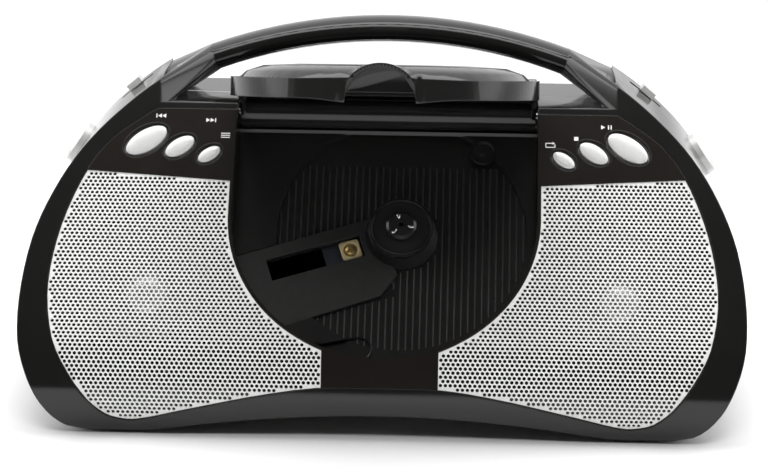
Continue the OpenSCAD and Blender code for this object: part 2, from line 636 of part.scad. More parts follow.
// Telescopic antenna, stowed across the rear wall; its fork swivels in a bore of that wall
antenna_l = 150;
module antenna_base() color([0.75, 0.75, 0.76]) translate([antenna_x, 0, antenna_z]) {
    rod_y(2.5, rear_y - wall - 1.5, antenna_y - 3);
    rod_y(4, rear_y - wall - 2.7, rear_y - wall - 0.3);
    rod_y(5, rear_y + 0.3, antenna_y - 2.9);
    for (z = [-2.7, 1.3]) translate([0, antenna_y, z]) cylinder(r = 3.2, h = 1.4);
}
module tube_x(r, x0, x1) translate([antenna_x - x1, antenna_y, antenna_z]) rotate([0, 90, 0])
    cylinder(r = r, h = x1 - x0);
module antenna_tube() color([0.85, 0.85, 0.86]) difference() {
    union() {
        translate([antenna_x, antenna_y, antenna_z - 1.2]) cylinder(r = 2.2, h = 2.4);
        translate([antenna_x - 4, antenna_y - 1.2, antenna_z - 1.2]) cube([4, 2.4, 2.4]);
        tube_x(2.6, 3.6, antenna_l);
    }
    tube_x(1.95, 8, antenna_l + 1);
}
module antenna_middle() color([0.85, 0.85, 0.86]) difference() {
    tube_x(1.9, 10, antenna_l + 1);
    tube_x(1.3, 14, antenna_l + 2);
}
module antenna_tip() color([0.85, 0.85, 0.86]) {
    tube_x(1.25, 18, antenna_l + 2);
    tube_x(2.8, antenna_l + 1.4, antenna_l + 7);
}
module rubber_feet() color([0.04, 0.04, 0.04]) both_sides()
    for (y = [0, feet_apart]) translate([125, front_y + 22 + y, 0]) cylinder(r = 8, h = base_z);
module cabinet_screws() color([0.7, 0.7, 0.7]) at_screws() {
    rod_y(1.5, split_y - 18, rear_y - 9);
    difference() {
        rod_y(3, rear_y - 9.9, rear_y - 7.5);
        translate([-2, rear_y - 8.3, -0.4]) cube([4, 2, 0.8]);
        translate([-0.4, rear_y - 8.3, -2]) cube([0.8, 2, 4]);
    }
}

front_frame();
rear_cabinet();
centre_panel();
grille_left();
grille_right();
cd_well();
mechanism_cover();
cd_door();
door_hinge_pins();
door_spring();
spindle_motor();
turntable();
centring_hub();
hub_balls();
mechanism_chassis();
isolators();
guide_rods();
optical_sled();
pickup_lens();
sled_gear();
sled_motor();
button_skip_back();
button_skip_forward();
button_program();
button_repeat();
button_stop();
button_play();
key_board_left();
key_board_right();
tact_switches();
volume_knob();
volume_pot();
tuning_knob();
tuning_capacitor();
function_slider();
function_switch();
band_slider();
band_switch();
speaker_frame_left();
speaker_frame_right();
speaker_magnets();
speaker_cone_left();
speaker_cone_right();
dust_cap_left();
dust_cap_right();
main_board();
board_components();
ribbon_cable();
transformer();
ac_inlet();
battery_box();
battery_contacts();
battery_door();
antenna_base();
antenna_tube();
antenna_middle();
antenna_tip();
rubber_feet();
cabinet_screws();
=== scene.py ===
# %% [markdown]
# # A portable CD and radio player
# The real object is a moulded black player under one arch: the rim of its front
# runs on over the top as the carry handle, two perforated silver grilles cover the
# speakers, and a round door stands open over the disc well. The engineering model
# is already fixed, so this lesson gives it finishes, adds what moulding and printing
# add, and lights it like a product on a pale table.

import math

import bmesh
import bpy
from mathutils import Matrix, Vector


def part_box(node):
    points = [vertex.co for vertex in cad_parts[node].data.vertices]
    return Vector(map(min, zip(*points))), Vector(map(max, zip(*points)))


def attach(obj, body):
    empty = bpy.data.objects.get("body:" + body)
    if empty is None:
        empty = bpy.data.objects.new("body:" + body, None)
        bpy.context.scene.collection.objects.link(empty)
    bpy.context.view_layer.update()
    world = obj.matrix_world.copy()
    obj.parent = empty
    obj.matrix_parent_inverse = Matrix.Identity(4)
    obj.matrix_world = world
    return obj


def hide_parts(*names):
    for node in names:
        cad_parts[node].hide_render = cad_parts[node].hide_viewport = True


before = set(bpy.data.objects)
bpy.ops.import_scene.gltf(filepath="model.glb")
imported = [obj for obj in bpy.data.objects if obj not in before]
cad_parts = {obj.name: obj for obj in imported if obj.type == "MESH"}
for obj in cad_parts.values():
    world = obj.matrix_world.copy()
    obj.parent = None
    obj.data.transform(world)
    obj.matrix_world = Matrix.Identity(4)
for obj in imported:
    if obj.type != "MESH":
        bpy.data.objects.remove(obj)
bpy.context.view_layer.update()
MM = 0.001

# %% [markdown]
# Nearly everything on the front is easiest to describe on the leaning face itself:
# x across, l up the slope from the bend, n out of the face. One matrix carries
# such a drawing into place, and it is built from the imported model's own front edge.

# %% The leaning front as a drawing board
FRONT_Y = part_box("front_frame")[0].y
LEAN = math.radians(40)
BEND_IN, BEND_UP = 7.4, 45
BEND = Vector((0, FRONT_Y + BEND_IN * MM, BEND_UP * MM))
UP_SLOPE = Vector((0, math.sin(LEAN), math.cos(LEAN)))
OUTWARD = Vector((0, -math.cos(LEAN), math.sin(LEAN)))
BOARD = Matrix.Translation(BEND) @ Matrix.Rotation(math.pi / 2 - LEAN, 4, "X")


def on_board(x, l, n=0.0):
    """A place on the leaning front, given in millimetres."""
    return BEND + Vector((x * MM, 0, 0)) + UP_SLOPE * (l * MM) + OUTWARD * (n * MM)


print("front edge at", round(FRONT_Y, 4))

# %% [markdown]
# ## Finishes
# Moulded plastic is never one flat colour. Its gloss wanders a little, its surface
# has a faint waviness from the tool, and its edges are slightly round, which is
# what catches the light. One helper builds all of that from noise on Object
# coordinates, so a pattern stays with its piece when the piece moves.

# %% A helper that builds a finish
def finish(name, colour, rough, metallic=0.0, mottle=0.1, spread=0.05, grain=700.0,
           dent=0.01, edge=0.4, coat=0.0):
    """A moulded, painted or metal finish; dent and edge are in millimetres."""
    material = bpy.data.materials.new(name)
    material.use_nodes = True
    tree = material.node_tree
    shader = tree.nodes["Principled BSDF"]
    shader.inputs["Metallic"].default_value = metallic
    shader.inputs["Coat Weight"].default_value = coat
    shader.inputs["Coat Roughness"].default_value = 0.04
    where = tree.nodes.new("ShaderNodeTexCoord")

    def noise(scale, detail):
        cloud = tree.nodes.new("ShaderNodeTexNoise")
        cloud.inputs["Scale"].default_value = scale
        cloud.inputs["Detail"].default_value = detail
        tree.links.new(where.outputs["Object"], cloud.inputs["Vector"])
        return cloud.outputs["Fac"]

    tint = tree.nodes.new("ShaderNodeValToRGB")
    tint.color_ramp.elements[0].position, tint.color_ramp.elements[1].position = 0.3, 0.7
    tint.color_ramp.elements[0].color = [c * (1 - mottle) for c in colour] + [1]
    tint.color_ramp.elements[1].color = [min(1, c * (1 + mottle)) for c in colour] + [1]
    tree.links.new(noise(grain * 0.12, 3), tint.inputs["Fac"])
    tree.links.new(tint.outputs["Color"], shader.inputs["Base Color"])

    gloss = tree.nodes.new("ShaderNodeMapRange")
    gloss.inputs["To Min"].default_value = max(rough - spread, 0.02)
    gloss.inputs["To Max"].default_value = rough + spread
    tree.links.new(noise(grain * 0.3, 2), gloss.inputs["Value"])
    tree.links.new(gloss.outputs["Result"], shader.inputs["Roughness"])

    rounding = tree.nodes.new("ShaderNodeBevel")
    rounding.inputs["Radius"].default_value = edge * MM
    bump = tree.nodes.new("ShaderNodeBump")
    bump.inputs["Strength"].default_value = 0.35
    bump.inputs["Distance"].default_value = dent * MM
    tree.links.new(noise(grain, 2), bump.inputs["Height"])
    tree.links.new(rounding.outputs["Normal"], bump.inputs["Normal"])
    tree.links.new(bump.outputs["Normal"], shader.inputs["Normal"])
    return material


gloss_black = finish("gloss_black", (0.009, 0.009, 0.0085), 0.09, spread=0.03,
                     grain=260, dent=0.006, edge=0.9)
panel_black = finish("panel_black", (0.011, 0.009, 0.0075), 0.14, spread=0.04,
                     grain=300, dent=0.006, edge=0.4)
satin_black = finish("satin_black", (0.016, 0.0155, 0.015), 0.3, grain=1800, dent=0.02)
door_black = finish("door_black", (0.012, 0.012, 0.0115), 0.13, spread=0.04,
                    grain=300, dent=0.008, edge=0.7)
well_black = finish("well_black", (0.013, 0.0125, 0.012), 0.24, grain=900, dent=0.015)
# The ribs get a lighter black than the well floor they belong to: a painted highlight that
# makes them show.
rib_black = finish("rib_black", (0.05, 0.05, 0.048), 0.3, grain=900, dent=0.01)
cover_grey = finish("cover_grey", (0.028, 0.028, 0.027), 0.32, grain=2200, dent=0.02)
print(len(bpy.data.materials), "finishes so far")

# %% [markdown]
# Metals, rubber, paper and the plain engineering plastics differ in colour, gloss and
# the size of their grain, so the same helper serves with other numbers.

# %% Metals, rubber, paper and inner plastics
silver_paint = finish("silver_paint", (0.84, 0.84, 0.825), 0.5, mottle=0.04,
                      grain=2600, dent=0.01, edge=0.1)
silver_plastic = finish("silver_plastic", (0.7, 0.7, 0.69), 0.3, metallic=0.15,
                        mottle=0.03, grain=2400, dent=0.006, edge=0.3, coat=0.3)
steel = finish("steel", (0.62, 0.62, 0.63), 0.24, metallic=1.0, mottle=0.06, grain=1500)
zinc = finish("zinc", (0.42, 0.43, 0.45), 0.38, metallic=1.0, mottle=0.12, grain=500)
chrome = finish("chrome", (0.75, 0.76, 0.78), 0.08, metallic=1.0, mottle=0.03, edge=0.2)
brass = finish("brass", (0.72, 0.5, 0.2), 0.3, metallic=0.9, mottle=0.1, grain=1200)
gold = finish("gold", (0.95, 0.72, 0.4), 0.3, metallic=0.35, mottle=0.2, grain=2500)
cap_metal = finish("cap_metal", (0.86, 0.86, 0.85), 0.22, metallic=0.8, mottle=0.04)
rubber = finish("rubber", (0.02, 0.02, 0.02), 0.75, grain=3000, dent=0.05)
paper = finish("paper", (0.05, 0.05, 0.052), 0.85, mottle=0.25, grain=4000, dent=0.08)
ferrite = finish("ferrite", (0.05, 0.05, 0.055), 0.6, mottle=0.2, grain=2500, dent=0.06)
basket = finish("basket", (0.035, 0.035, 0.035), 0.4, grain=900, dent=0.03)
acetal = finish("acetal", (0.8, 0.79, 0.74), 0.4, mottle=0.03, grain=900)
black_acetal = finish("black_acetal", (0.016, 0.016, 0.016), 0.2, grain=600)
sled_grey = finish("sled_grey", (0.06, 0.065, 0.08), 0.4, grain=1500, dent=0.02)
board_green = finish("board_green", (0.02, 0.11, 0.045), 0.3, mottle=0.3, grain=2500)
component = finish("component", (0.03, 0.03, 0.035), 0.45, mottle=0.2, grain=2000)
ribbon = finish("ribbon", (0.6, 0.6, 0.58), 0.5, mottle=0.08, grain=3000)
winding = finish("winding", (0.16, 0.1, 0.05), 0.5, metallic=0.4, mottle=0.2, grain=2000)
print(len(bpy.data.materials), "finishes")

# %% [markdown]
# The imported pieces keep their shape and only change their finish. A table of
# finish and names says who gets what.

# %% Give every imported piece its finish
FINISHES = {
    gloss_black: "front_frame rear_cabinet battery_door",
    panel_black: "centre_panel",
    door_black: "cd_door",
    well_black: "cd_well",
    satin_black: "ac_inlet battery_box",
    cover_grey: "mechanism_cover",
    silver_paint: "grille_left grille_right",
    silver_plastic: "button_skip_back button_skip_forward button_program button_repeat "
                    "button_stop button_play volume_knob tuning_knob function_slider "
                    "band_slider",
    steel: "door_hinge_pins door_spring spindle_motor guide_rods sled_motor "
           "battery_contacts cabinet_screws",
    zinc: "mechanism_chassis volume_pot function_switch band_switch",
    chrome: "hub_balls antenna_base antenna_tube antenna_middle antenna_tip",
    brass: "pickup_lens",
    cap_metal: "dust_cap_left dust_cap_right",
    rubber: "isolators rubber_feet",
    paper: "speaker_cone_left speaker_cone_right",
    ferrite: "speaker_magnets",
    basket: "speaker_frame_left speaker_frame_right",
    acetal: "sled_gear tuning_capacitor",
    black_acetal: "turntable centring_hub",
    sled_grey: "optical_sled",
    board_green: "key_board_left key_board_right main_board",
    component: "board_components tact_switches",
    ribbon: "ribbon_cable",
    winding: "transformer",
}
finish_of = {node: material for material, nodes in FINISHES.items()
             for node in nodes.split()}
for node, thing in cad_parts.items():
    thing.data.materials.clear()
    thing.data.materials.append(finish_of[node])
print("finished", len(finish_of), "of", len(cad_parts))

# %% [markdown]
# ## Smooth mouldings
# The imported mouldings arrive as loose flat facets, and gloss plastic would show
# each of them as a band. A copy of each is welded, its flat areas are joined, and only
# edges sharper than a set angle stay sharp. Weighted normals then keep the big flat
# faces flat while the arch reads as one curve. The bands of the door's dome meet at
# angles too shallow to tell from flat, so the door's areas are left unjoined.

# %% Helpers that set a finished piece in place
def keep(name, mesh, body, material, slot, *nodes):
    """Makes an object from a mesh that is already in place, and ties it to its body."""
    thing = bpy.data.objects.new(name, mesh)
    bpy.context.scene.collection.objects.link(thing)
    mesh.materials.clear()
    mesh.materials.append(material)
    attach(thing, body)
    if nodes:
        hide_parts(*nodes)
    print(name, len(mesh.polygons), "faces")


def applied(thing, name):
    """The mesh that the object's modifiers give; the working object is removed."""
    graph = bpy.context.evaluated_depsgraph_get()
    mesh = bpy.data.meshes.new_from_object(thing.evaluated_get(graph),
                                           preserve_all_data_layers=True, depsgraph=graph)
    mesh.name = name
    bpy.data.objects.remove(thing)
    return mesh


def work(mesh):
    """A working object for modifiers."""
    thing = bpy.data.objects.new("work", mesh)
    bpy.context.scene.collection.objects.link(thing)
    return thing


# Depth behind the front edge and height, from the base to the top of the slope.
SLOPE = 150
FRONT_LINE = [(7, 0), (3, 4), (0.8, 10), (0, 18), (1.4, 27), (4.2, 37.5), (6.6, 43.4),
              (8.6, 46.6),
              (BEND_IN + SLOPE * math.sin(LEAN), BEND_UP + SLOPE * math.cos(LEAN))]
EASED_BY = 54  # the height where the front takes the direction of the slope
FRONTAL = 0.96  # how nearly a face must look along the front to count as part of it
WELD = 0.002 * MM
FLAT, SHARP = math.radians(0.5), math.radians(30)
BENT = ("front_frame", "centre_panel")


def front_normal(z):
    """The direction that the front faces at height z in millimetres, bends eased out."""
    heights, angles = [], []
    for (y0, z0), (y1, z1) in zip(FRONT_LINE, FRONT_LINE[1:]):
        heights.append((z0 + z1) / 2)
        angles.append(math.atan2(y1 - y0, z1 - z0))
    heights[-1] = EASED_BY
    k = 0
    while k < len(heights) - 2 and z > heights[k + 1]:
        k += 1
    t = min(max((z - heights[k]) / (heights[k + 1] - heights[k]), 0), 1)
    angle = angles[k] + (angles[k + 1] - angles[k]) * t
    return Vector((0, -math.cos(angle), math.sin(angle)))


def ease_front(mesh):
    """Gives faces that lie on the front the eased direction, so the bend reads soft."""
    normals = [Vector(n.vector) for n in mesh.corner_normals]
    changed = 0
    for face in mesh.polygons:
        wanted = front_normal(face.center.z / MM)
        if abs(face.normal.x) < 0.02 and face.normal.dot(wanted) > FRONTAL:
            for corner in face.loop_indices:
                z = mesh.vertices[mesh.loops[corner].vertex_index].co.z / MM
                normals[corner] = front_normal(z)
            changed += 1
    mesh.normals_split_custom_set([tuple(n) for n in normals])
    return changed


def smoothed(node):
    """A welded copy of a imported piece, smooth but for its sharp edges."""
    bm = bmesh.new()
    bm.from_mesh(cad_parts[node].data)
    bmesh.ops.remove_doubles(bm, verts=bm.verts, dist=WELD)
    if node != "cd_door":
        bmesh.ops.dissolve_limit(bm, angle_limit=FLAT, verts=bm.verts, edges=bm.edges)
    if node in BENT:  # the bend needs cuts across it to take the eased directions
        for level in range(2, 62, 4):
            bmesh.ops.bisect_plane(bm, geom=bm.verts[:] + bm.edges[:] + bm.faces[:],
                                   dist=1e-7, plane_co=(0, 0, level * MM),
                                   plane_no=(0, 0, 1))
    bmesh.ops.triangulate(bm, faces=[f for f in bm.faces if len(f.verts) > 4])
    mesh = bpy.data.meshes.new(node + "_weld")
    bm.to_mesh(mesh)
    bm.free()
    mesh.shade_smooth()
    mesh.set_sharp_from_angle(angle=SHARP)
    thing = work(mesh)
    weight = thing.modifiers.new("Flat faces stay flat", "WEIGHTED_NORMAL")
    weight.keep_sharp = True
    weight.weight = 90
    mesh = applied(thing, node + "_smooth")
    mesh.validate()
    if node in BENT:
        print(node, "eased", ease_front(mesh), "front faces")
    return mesh


# %% Smooth the main mouldings
for node, body in [("front_frame", "cabinet"), ("rear_cabinet", "cabinet"),
                   ("centre_panel", "cabinet"), ("cd_door", "door")]:
    keep(node + "_moulding", smoothed(node), body, finish_of[node], "gloss_black", node)

# %% [markdown]
# ## Perforated grilles
# A real grille is sheet steel with thousands of punched holes in staggered rows,
# then bent over the front and painted. Geometry Nodes follow the same order: staggered
# points, a circle on each, one fill between the outline and the circles, and last
# the bend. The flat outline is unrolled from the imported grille, so it fits exactly.

# %% Small helpers for node trees
def new_tree(name, **inputs):
    """A geometry node tree with the given named inputs: {name: (socket type, value)}."""
    tree = bpy.data.node_groups.new(name, "GeometryNodeTree")
    tree.interface.new_socket("Geometry", in_out="INPUT",
                              socket_type="NodeSocketGeometry")
    for label, (kind, value) in inputs.items():
        socket = tree.interface.new_socket(label.replace("_", " "), in_out="INPUT",
                                           socket_type="NodeSocket" + kind)
        if value is not None:
            socket.default_value = value
    tree.interface.new_socket("Geometry", in_out="OUTPUT",
                              socket_type="NodeSocketGeometry")
    return tree, tree.nodes.new("NodeGroupInput").outputs


def add(tree, kind, wires=None, **settings):
    """Adds a node, sets its options, and wires or fills its inputs."""
    node = tree.nodes.new(kind)
    for key, value in settings.items():
        setattr(node, key, value)
    for key, value in (wires or {}).items():
        if isinstance(value, bpy.types.NodeSocket):
            tree.links.new(value, node.inputs[key])
        else:
            node.inputs[key].default_value = value
    return node


def maths(tree, operation, a, b=0.0):
    return add(tree, "ShaderNodeMath", {0: a, 1: b}, operation=operation).outputs[0]


def close_tree(tree, geometry, material):
    """Ends a tree in Realize Instances and Set Material."""
    real = add(tree, "GeometryNodeRealizeInstances", {"Geometry": geometry})
    painted = add(tree, "GeometryNodeSetMaterial",
                  {"Geometry": real.outputs[0], "Material": material})
    end = tree.nodes.new("NodeGroupOutput")
    tree.links.new(painted.outputs[0], end.inputs[0])


def run(thing, tree, **values):
    """Puts the tree on the object and sets its inputs by their identifiers."""
    modifier = thing.modifiers.new(tree.name, "NODES")
    modifier.node_group = tree
    for item in tree.interface.items_tree:
        key = item.name.replace(" ", "_")
        if item.in_out == "INPUT" and key in values:
            modifier[item.identifier] = values[key]


print("node helpers ready")

# %% The bent line that a grille follows
GRILLE_DROP = 0.5  # how far the grille lies behind the front line
ON_FACE = 0.1 * MM
line = [Vector((y, z)) for y, z in FRONT_LINE]
sides = [(b - a).normalized() for a, b in zip(line, line[1:])]
bent = []
for i, point in enumerate(line):
    before = sides[max(i - 1, 0)]
    after = sides[min(i, len(sides) - 1)]
    inward = Vector((before.y + after.y, -before.x - after.x))
    bent.append(point + inward * (GRILLE_DROP / (1 + before.dot(after))))
bent = [Vector((0, FRONT_Y + p.x * MM, p.y * MM)) for p in bent]
lengths = [0.0]
for a, b in zip(bent, bent[1:]):
    lengths.append(lengths[-1] + (b - a).length)


def unrolled(point):
    """(x, distance along the bent line, distance from it) of a point in space."""
    best = None
    flat = Vector((0, point.y, point.z))
    for a, b, start in zip(bent, bent[1:], lengths):
        t = min(max((flat - a).dot(b - a) / (b - a).length_squared, 0), 1)
        away = (flat - a - (b - a) * t).length
        if best is None or away < best[2]:
            best = (point.x, start + (b - a).length * t, away)
    return best


def edge_mesh(name, points, ring=False):
    mesh = bpy.data.meshes.new(name)
    edges = [(i, i + 1) for i in range(len(points) - 1)]
    mesh.from_pydata(points, edges + ([(len(points) - 1, 0)] if ring else []), [])
    return mesh


bend_guide = work(edge_mesh("bend_guide", bent))
print("the grille's bent line is", round(lengths[-1] / MM), "mm long")


# %% Unroll the outline of a packed grille
def outline_of(node):
    """The outer face's edge, laid flat: x across, y along the bent line."""
    bm = bmesh.new()
    bm.from_mesh(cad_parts[node].data)
    bmesh.ops.remove_doubles(bm, verts=bm.verts, dist=WELD)
    flat = {v: unrolled(v.co) for v in bm.verts}
    outer = {f for f in bm.faces if all(flat[v][2] < ON_FACE for v in f.verts)}
    rim = {}
    for edge in bm.edges:
        if sum(f in outer for f in edge.link_faces) == 1:
            for a, b in (tuple(edge.verts), tuple(edge.verts)[::-1]):
                rim.setdefault(a, []).append(b)
    start = next(iter(rim))
    loop, last, here = [start], None, start
    while True:
        onward = [v for v in rim[here] if v is not last]
        last, here = here, onward[0]
        if here is start:
            break
        loop.append(here)
    points = [Vector((flat[v][0], flat[v][1], 0)) for v in loop]
    bm.free()
    return points


edge = outline_of("grille_left")
print("the outline has", len(edge), "points")

# %% [markdown]
# The tree makes two offset grids, which together give staggered rows. A ray test keeps
# the points inside the outline, and a distance test keeps a solid border round them.
# The holes are eight-sided, which is round enough at this size.

# %% The tree that punches and bends a grille
PITCH = 2.3 * MM
SHEET = 0.7 * MM
punch, given = new_tree(
    "Punched and bent sheet", Pitch=("Float", PITCH), Hole_Radius=("Float", 0.87 * MM),
    Border=("Float", 0.12 * MM), Columns=("Int", 60), Rows=("Int", 30),
    Middle=("Vector", None), Bent_Line=("Object", None), Finish=("Material", None))
row_step = maths(punch, "MULTIPLY", given["Pitch"], math.sqrt(3))
wide = maths(punch, "MULTIPLY", given["Pitch"],
             maths(punch, "SUBTRACT", given["Columns"], 1.0))
tall = maths(punch, "MULTIPLY", row_step, maths(punch, "SUBTRACT", given["Rows"], 1.0))
grid = add(punch, "GeometryNodeMeshGrid",
           {"Size X": wide, "Size Y": tall, "Vertices X": given["Columns"],
            "Vertices Y": given["Rows"]})
half_step = add(punch, "ShaderNodeCombineXYZ",
                {"X": maths(punch, "MULTIPLY", given["Pitch"], 0.5),
                 "Y": maths(punch, "MULTIPLY", row_step, 0.5)})
second = add(punch, "GeometryNodeTransform",
             {"Geometry": grid.outputs["Mesh"], "Translation": half_step.outputs[0]})
both = add(punch, "GeometryNodeJoinGeometry")
for part in (grid.outputs["Mesh"], second.outputs[0]):
    punch.links.new(part, both.inputs[0])
centred = add(punch, "GeometryNodeTransform",
              {"Geometry": both.outputs[0], "Translation": given["Middle"]})
edge_curve = add(punch, "GeometryNodeMeshToCurve", {"Mesh": given["Geometry"]})
sheet = add(punch, "GeometryNodeFillCurve", {"Curve": edge_curve.outputs[0]})
above = add(punch, "ShaderNodeVectorMath",
            {0: add(punch, "GeometryNodeInputPosition").outputs[0], 1: (0, 0, 0.01)},
            operation="ADD")
ray = add(punch, "GeometryNodeRaycast",
          {"Target Geometry": sheet.outputs[0], "Source Position": above.outputs[0],
           "Ray Direction": (0, 0, -1), "Ray Length": 1.0})
near = add(punch, "GeometryNodeProximity", {0: given["Geometry"]},
           target_element="EDGES")
roomy = add(punch, "FunctionNodeCompare",
            {"A": near.outputs["Distance"],
             "B": maths(punch, "ADD", given["Hole Radius"], given["Border"])},
            data_type="FLOAT", operation="GREATER_THAN")
good = add(punch, "FunctionNodeBooleanMath",
           {0: ray.outputs["Is Hit"], 1: roomy.outputs[0]}, operation="NAND")
points = add(punch, "GeometryNodeDeleteGeometry",
             {"Geometry": centred.outputs[0], "Selection": good.outputs[0]},
             domain="POINT")
hole = add(punch, "GeometryNodeCurvePrimitiveCircle",
           {"Resolution": 8, "Radius": given["Hole Radius"]})
holes = add(punch, "GeometryNodeInstanceOnPoints",
            {"Points": points.outputs[0], "Instance": hole.outputs["Curve"]})
real_holes = add(punch, "GeometryNodeRealizeInstances", {"Geometry": holes.outputs[0]})
lines = add(punch, "GeometryNodeJoinGeometry")
for part in (edge_curve.outputs[0], real_holes.outputs[0]):
    punch.links.new(part, lines.inputs[0])
punched = add(punch, "GeometryNodeFillCurve", {"Curve": lines.outputs[0]})
guide = add(punch, "GeometryNodeObjectInfo", {"Object": given["Bent Line"]},
            transform_space="ORIGINAL")
guide_curve = add(punch, "GeometryNodeMeshToCurve",
                  {"Mesh": guide.outputs["Geometry"]})
flat_place = add(punch, "ShaderNodeSeparateXYZ",
                 {0: add(punch, "GeometryNodeInputPosition").outputs[0]})
along = add(punch, "GeometryNodeSampleCurve",
            {"Curves": guide_curve.outputs[0], "Length": flat_place.outputs["Y"]},
            mode="LENGTH")
bent_place = add(punch, "ShaderNodeSeparateXYZ", {0: along.outputs["Position"]})
target = add(punch, "ShaderNodeCombineXYZ",
             {"X": flat_place.outputs["X"], "Y": bent_place.outputs["Y"],
              "Z": bent_place.outputs["Z"]})
bent_sheet = add(punch, "GeometryNodeSetPosition",
                 {"Geometry": punched.outputs[0], "Position": target.outputs[0]})
close_tree(punch, bent_sheet.outputs[0], given["Finish"])
print("the punching tree has", len(punch.nodes), "nodes")

# %% Punch the left grille, give it its thickness, and mirror it
low = Vector((min(p.x for p in edge), min(p.y for p in edge), 0))
high = Vector((max(p.x for p in edge), max(p.y for p in edge), 0))
flat = work(edge_mesh("grille_edge", edge, ring=True))
run(flat, punch, Pitch=PITCH, Columns=math.ceil((high.x - low.x) / PITCH) + 2,
    Rows=math.ceil((high.y - low.y) / (PITCH * math.sqrt(3))) + 2,
    Middle=(low + high) / 2, Bent_Line=bend_guide, Finish=silver_paint)
mesh = applied(flat, "grille_flat")
facing = sum((p.normal * p.area for p in mesh.polygons), Vector())
if facing.dot(OUTWARD) < 0:
    mesh.flip_normals()
thick = work(mesh)
wall = thick.modifiers.new("Sheet", "SOLIDIFY")
wall.thickness = SHEET
wall.offset = -1
left_mesh = applied(thick, "grille_left_punched")
right_mesh = left_mesh.copy()
right_mesh.transform(Matrix.Diagonal((-1, 1, 1, 1)))
right_mesh.flip_normals()
for side, mesh in (("left", left_mesh), ("right", right_mesh)):
    ease_front(mesh)
    keep("grille_" + side + "_punched", mesh, "cabinet", silver_paint, "grille_metal",
         "grille_" + side)

# %% [markdown]
# ## Buttons
# Each button is an oval cap with a soft dome, a hidden flange that keeps it from
# falling out, and a stem that meets its switch. It is lofted from oval rings,
# which gives the dome real curvature. The visible cap is slimmer than its guide, so a
# dark gap shows round it, and a fine raised ring is moulded round each one.

# %% Lofted shapes
def loft(name, rings, close=False):
    """A skin over rings of points; the ends are filled, or joined if close is set."""
    bm = bmesh.new()
    rows = [[bm.verts.new(point) for point in ring] for ring in rings]
    pairs = list(zip(rows, rows[1:])) + ([(rows[-1], rows[0])] if close else [])
    for a, b in pairs:
        for i in range(len(a)):
            j = (i + 1) % len(a)
            bm.faces.new((a[i], a[j], b[j], b[i]))
    if not close:
        bm.faces.new(rows[0][::-1])
        bm.faces.new(rows[-1])
    bmesh.ops.recalc_face_normals(bm, faces=bm.faces)
    mesh = bpy.data.meshes.new(name)
    bm.to_mesh(mesh)
    bm.free()
    mesh.shade_smooth()
    mesh.set_sharp_from_angle(angle=math.radians(40))
    return mesh


def bead(name, ring_at, out, n, wide, high):
    """A moulded bead: ring_at(out, n) carried round a small oval section."""
    turns = [2 * math.pi * k / 8 for k in range(8)]
    return loft(name, [ring_at(out + wide * math.cos(t), n + high * math.sin(t))
                       for t in turns], close=True)


def oval_ring(x, l, n, a, b, turned=0.0, count=48):
    """An oval on the front with half sizes a and b, turned about its middle."""
    ring = []
    for i in range(count):
        t = 2 * math.pi * i / count
        u, v = a * math.cos(t), b * math.sin(t)
        ring.append(on_board(x + u * math.cos(turned) - v * math.sin(turned),
                             l + u * math.sin(turned) + v * math.cos(turned), n))
    return ring


def joined(name, meshes):
    """Several meshes as one, and the parts removed."""
    bm = bmesh.new()
    for mesh in meshes:
        bm.from_mesh(mesh)
        bpy.data.meshes.remove(mesh)
    mesh = bpy.data.meshes.new(name)
    bm.to_mesh(mesh)
    bm.free()
    return mesh


print("loft helpers ready")

# %% Six domed caps, each in its ring
# Place on the right of the panel, the oval guide, and the slimmer visible cap.
BUTTON_SIZES = [(117, 106, 23, 13.4, 11.2), (100.5, 103, 16.4, 10.4, 8.4),
                (86, 99, 12.7, 8, 6.4)]
# The side of the well, -1 left and +1 right, and which size it is.
BUTTONS = {"skip_back": (-1, 0), "skip_forward": (-1, 1), "program": (-1, 2),
           "repeat": (1, 2), "stop": (1, 1), "play": (1, 0)}
BUTTON_TURN = math.radians(36)
STEM, FLANGE = 1.6, 0.8
bezels = []
for name, (side, size) in BUTTONS.items():
    x, l, width, height, slim = BUTTON_SIZES[size]
    turned = -side * BUTTON_TURN
    a, b, c = width / 2, height / 2, slim / 2
    profile = [(STEM, STEM, -7.2), (STEM, STEM, -5.2), (a + FLANGE, b + FLANGE, -5.2),
               (a + FLANGE, b + FLANGE, -4.2), (a - 0.3, c, -4.2), (a - 0.3, c, 0.15),
               (a - 0.42, c - 0.12, 0.4), (a - 0.75, c - 0.45, 0.6),
               (a - 1.5, c - 1.1, 0.82), (a * 0.7, c * 0.66, 1.03),
               (a * 0.4, c * 0.38, 1.2), (a * 0.1, c * 0.1, 1.28)]
    mesh = loft(name + "_cap", [oval_ring(side * x, l, n, p, q, turned)
                                for p, q, n in profile])
    keep("button_" + name + "_domed", mesh, name + "_key", silver_plastic,
         "silver_plastic", "button_" + name)
    bezels.append(bead("bezel", lambda grow, n: oval_ring(side * x, l, n, a + grow,
                                                          b + grow, turned),
                       1.15, 0.02, 0.3, 0.26))
keep("button_rings", joined("button_rings", bezels), "cabinet", panel_black, "gloss_black")

# %% [markdown]
# ## Printed marks
# Above each button a plain symbol is pad-printed in white: skip back, skip forward,
# a list, a loop, a square, and play with pause. They are drawn with bars and
# triangles a twentieth of a millimetre thick, so they are real shapes. No words.

# %% Bars and triangles for the printed symbols
white_print = finish("white_print", (0.82, 0.82, 0.8), 0.5, mottle=0.03, grain=3000,
                     dent=0.002, edge=0.02)
INK = (0.005, 0.05)  # the heights of the underside and the top of the print


def bar(x, l, width, height):
    """The corners of an upright rectangle about (x, l)."""
    return [(x - width / 2, l - height / 2), (x + width / 2, l - height / 2),
            (x + width / 2, l + height / 2), (x - width / 2, l + height / 2)]


def arrow(x, l, height, way):
    """The corners of a triangle that points to way, +1 right or -1 left."""
    reach = way * height * 0.42
    return [(x + reach, l), (x - reach, l + height / 2), (x - reach, l - height / 2)]


